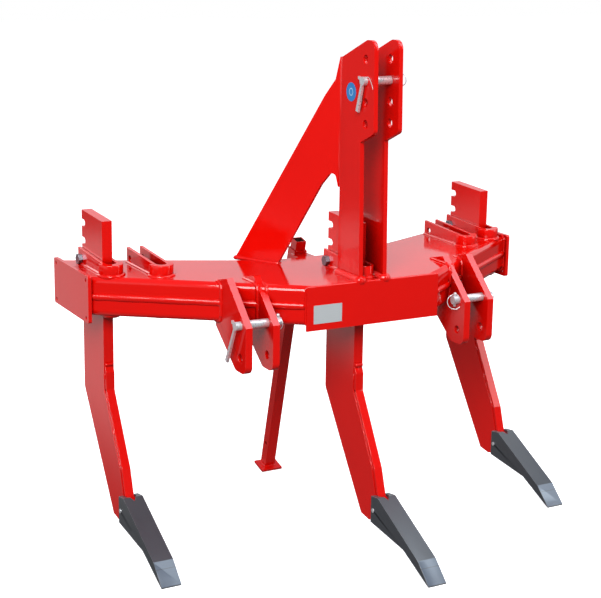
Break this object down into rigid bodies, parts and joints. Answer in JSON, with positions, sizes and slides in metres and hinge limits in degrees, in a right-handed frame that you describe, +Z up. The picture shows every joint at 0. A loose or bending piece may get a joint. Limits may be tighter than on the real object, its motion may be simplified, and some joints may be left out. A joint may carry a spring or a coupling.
{
  "type": "tractor subsoiler",
  "caption": "Swept box-beam subsoiler for a rear three-point linkage, with curved rigid tines, chisel points, braced mast and a sliding parking leg.",
  "frame": {"origin": "on the ground at the middle of the footprint, between the middle point's tip and the parking foot's rear edge, on the plane of symmetry", "axes": "+X to the right as seen from the tractor side, +Y to the rear, away from the tractor, +Z up"},
  "size_m": [1.675, 1.212, 1.676],
  "materials": {
    "paint_red": "glossy signal-red enamel",
    "point_black": "hard dark steel with a dull coat",
    "zinc": "bright zinc plate"
  },
  "bodies": {
    "frame": {"end_flange_left": "paint_red", "end_flange_right": "paint_red", "frame_bottom_shell": "paint_red", "frame_top_shell": "paint_red", "front_plate": "paint_red", "hitch_pin_left": "zinc", "hitch_pin_right": "zinc", "hitch_plate_left_inner": "paint_red", "hitch_plate_left_outer": "paint_red", "hitch_plate_right_inner": "paint_red", "hitch_plate_right_outer": "paint_red", "leg_sleeve": "paint_red", "mast_cheek_left": "paint_red", "mast_cheek_right": "paint_red", "pocket_bolt_centre": "zinc", "pocket_bolt_left": "zinc", "pocket_bolt_right": "zinc", "point_pin_centre": "zinc", "point_pin_left": "zinc", "point_pin_right": "zinc", "tine_pocket_centre": "paint_red", "tine_pocket_left_inner": "paint_red", "tine_pocket_left_outer": "paint_red", "tine_pocket_right_inner": "paint_red", "tine_pocket_right_outer": "paint_red", "tine_point_centre": "point_black", "tine_point_left": "point_black", "tine_point_right": "point_black", "tine_shank_centre": "paint_red", "tine_shank_left": "paint_red", "tine_shank_right": "paint_red", "tine_shin_centre": "paint_red", "tine_shin_left": "paint_red", "tine_shin_right": "paint_red", "top_link_pin": "zinc"},
    "parking_leg": {"leg_foot": "paint_red", "leg_tube": "paint_red"}
  },
  "joints": [
    {"name": "parking_leg_slide", "type": "slide", "parent": "frame", "child": "parking_leg", "axis": [0, -0.2402, 0.9707], "range_m": [0, 0.7]}
  ]
}
